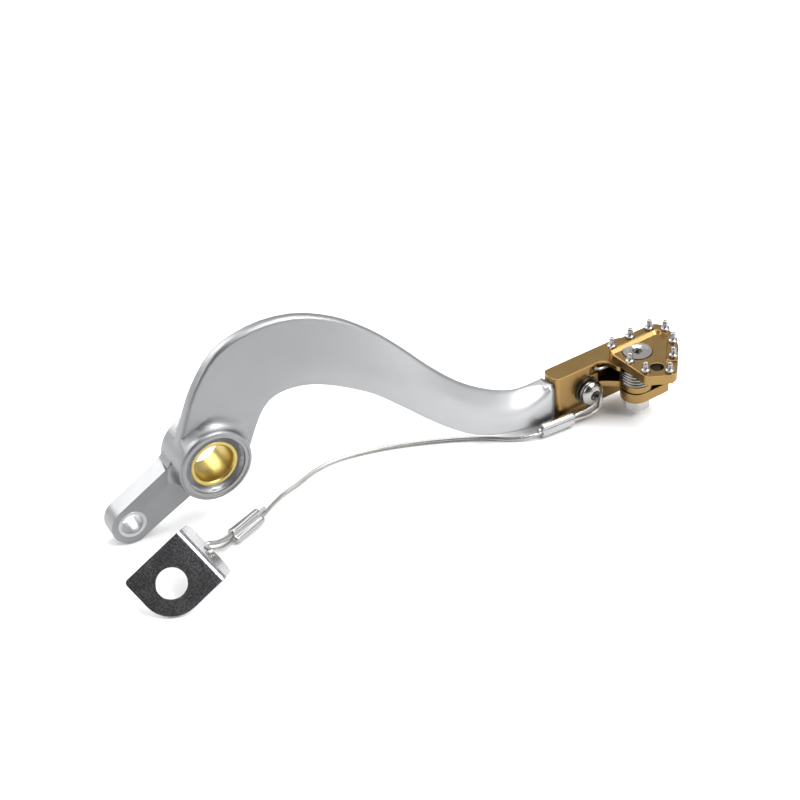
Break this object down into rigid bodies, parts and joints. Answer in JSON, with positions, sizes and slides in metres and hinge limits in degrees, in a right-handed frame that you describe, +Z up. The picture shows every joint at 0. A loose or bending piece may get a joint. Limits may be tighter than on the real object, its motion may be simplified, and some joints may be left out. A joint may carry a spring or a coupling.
{
  "type": "rear brake pedal",
  "caption": "Arched rear brake pedal for an off-road motorbike, with a bushed pivot, a sprung folding cleated foot tip, and a wire safety tether with its frame tab.",
  "frame": {"origin": "centre of the pivot bore, in the bush in the boss", "axes": "+X forward from the pivot to the foot tip, +Y inboard along the pivot bore, +Z up"},
  "size_m": [0.2469, 0.0618, 0.0768],
  "materials": {
    "satin_aluminium": "satin, fine blasted",
    "brass": "machined, bright",
    "bright_steel": "zinc plated, bright",
    "gold_anodised": "anodised gold, satin",
    "cleat_steel": "turned, bright",
    "spring_steel": "drawn wire, dull bright",
    "rope_steel": "stranded wire, bright",
    "ferrule_steel": "plated, smooth",
    "tab_steel": "stamped sheet, grained"
  },
  "bodies": {
    "arm": {"pedal_arm": "satin_aluminium", "pivot_bush": "brass", "clevis_bush": "bright_steel", "tip_bracket": "gold_anodised", "bracket_bolt": "bright_steel", "bracket_washer": "bright_steel", "tip_spring": "spring_steel", "front_eye": "rope_steel", "front_ferrule": "ferrule_steel", "tether_cable": "rope_steel", "rear_ferrule": "ferrule_steel", "rear_eye": "rope_steel", "rope_ends": "rope_steel", "anchor_tab": "tab_steel"},
    "tip": {"foot_tip": "gold_anodised", "cleats": "cleat_steel", "tip_pivot_bolt": "bright_steel", "tip_pivot_sleeve": "bright_steel", "tip_pivot_nut": "bright_steel"}
  },
  "joints": [
    {"name": "tip_fold", "type": "hinge", "parent": "arm", "child": "tip", "pos_m": [0.1802, -0.0307, -0.0004], "axis": [0.1028, 0, -0.9947], "range_deg": [0, 90], "stiffness_Nm_per_rad": 0.12, "springref_deg": -34.38, "deforming": ["tip_spring"]}
  ]
}
